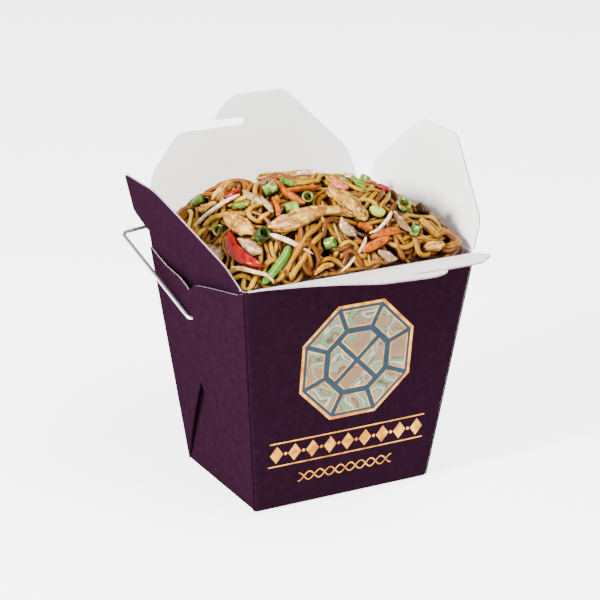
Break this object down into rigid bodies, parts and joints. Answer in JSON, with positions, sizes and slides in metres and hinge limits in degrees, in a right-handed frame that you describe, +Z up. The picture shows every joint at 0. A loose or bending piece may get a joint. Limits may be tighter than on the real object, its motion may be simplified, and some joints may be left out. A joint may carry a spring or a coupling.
{
  "type": "filled noodle takeaway box",
  "caption": "Tapered folded-board takeaway pail with open top flaps and a wire handle, heaped with stir-fried noodles, chicken and cut vegetables.",
  "frame": {"origin": "centre of the underside, on the surface that the box stands on", "axes": "+X to the right along the front panel, +Y from the front panel to the back one, +Z up"},
  "size_m": [0.1448, 0.165, 0.1576],
  "materials": {
    "carton_board": "matt laminate, deep aubergine outside and coated white inside",
    "bail_wire": "bright drawn wire",
    "noodle": "boiled and fried wheat dough with an oily sheen",
    "chicken": "cooked white meat, seared at its edges",
    "red_pepper": "wet glossy skin",
    "red_onion": "softened, translucent",
    "spring_onion": "moist leaf green, paler inside",
    "leaf_green": "moist leaf, thin",
    "pale_stem": "pale green stem, moist",
    "carrot": "cut carrot, moist",
    "bean_sprout": "ivory, translucent",
    "onion": "softened, translucent",
    "mushroom": "sauteed brown",
    "egg": "yellow, soft"
  },
  "bodies": {
    "box": {"bean": "spring_onion", "carrot_cross": "carrot", "carrot_front": "carrot", "carrot_left": "carrot", "carrot_rear": "carrot", "carrot_right": "carrot", "carrot_top": "carrot", "carrot_under": "carrot", "carton": "carton_board", "chicken_back_a": "chicken", "chicken_back_b": "chicken", "chicken_long": "chicken", "chicken_rear": "chicken", "chicken_right": "chicken", "chicken_short": "chicken", "chicken_shred": "chicken", "egg_front": "egg", "egg_right": "egg", "leaf_left": "leaf_green", "leaf_right": "leaf_green", "leaf_spring": "leaf_green", "leek_left": "spring_onion", "mushroom_right": "mushroom", "noodles": "noodle", "onion_curl": "onion", "onion_front": "onion", "onion_left": "onion", "onion_petal": "onion", "onion_pink": "red_onion", "onion_right": "onion", "onion_top": "onion", "onion_violet": "onion", "pepper_curl": "red_pepper", "pepper_left": "red_pepper", "pepper_low": "red_pepper", "pepper_rear": "red_pepper", "pepper_right": "red_pepper", "ring_back": "spring_onion", "ring_centre": "spring_onion", "ring_dark": "spring_onion", "ring_front": "spring_onion", "ring_left": "spring_onion", "ring_low_right": "spring_onion", "ring_middle": "spring_onion", "ring_rear": "spring_onion", "ring_rear_right": "spring_onion", "ring_right": "spring_onion", "ring_upper_left": "spring_onion", "sprout_centre": "bean_sprout", "sprout_front": "bean_sprout", "sprout_front_left": "bean_sprout", "sprout_left": "bean_sprout", "sprout_rear": "bean_sprout", "sprout_right": "bean_sprout", "stem_pale": "pale_stem"},
    "flap_front": {"flap_front": "carton_board"},
    "flap_back": {"flap_back": "carton_board"},
    "flap_left": {"flap_left": "carton_board"},
    "flap_right": {"flap_right": "carton_board"},
    "bail": {"bail": "bail_wire"}
  },
  "joints": [
    {"name": "flap_front_fold", "type": "hinge", "parent": "box", "child": "flap_front", "pos_m": [0, -0.04735, 0.107], "axis": [1, 0, 0], "range_deg": [-65, 94]},
    {"name": "flap_back_fold", "type": "hinge", "parent": "box", "child": "flap_back", "pos_m": [0, 0.04735, 0.107], "axis": [-1, 0, 0], "range_deg": [-15, 68]},
    {"name": "flap_left_fold", "type": "hinge", "parent": "box", "child": "flap_left", "pos_m": [-0.05535, 0, 0.107], "axis": [0, -1, 0], "range_deg": [-22, 85]},
    {"name": "flap_right_fold", "type": "hinge", "parent": "box", "child": "flap_right", "pos_m": [0.05535, 0, 0.107], "axis": [0, 1, 0], "range_deg": [-10, 100]},
    {"name": "bail_swing", "type": "hinge", "parent": "box", "child": "bail", "pos_m": [0, 0, 0.081], "axis": [-1, 0, 0], "range_deg": [-12, 70]}
  ]
}
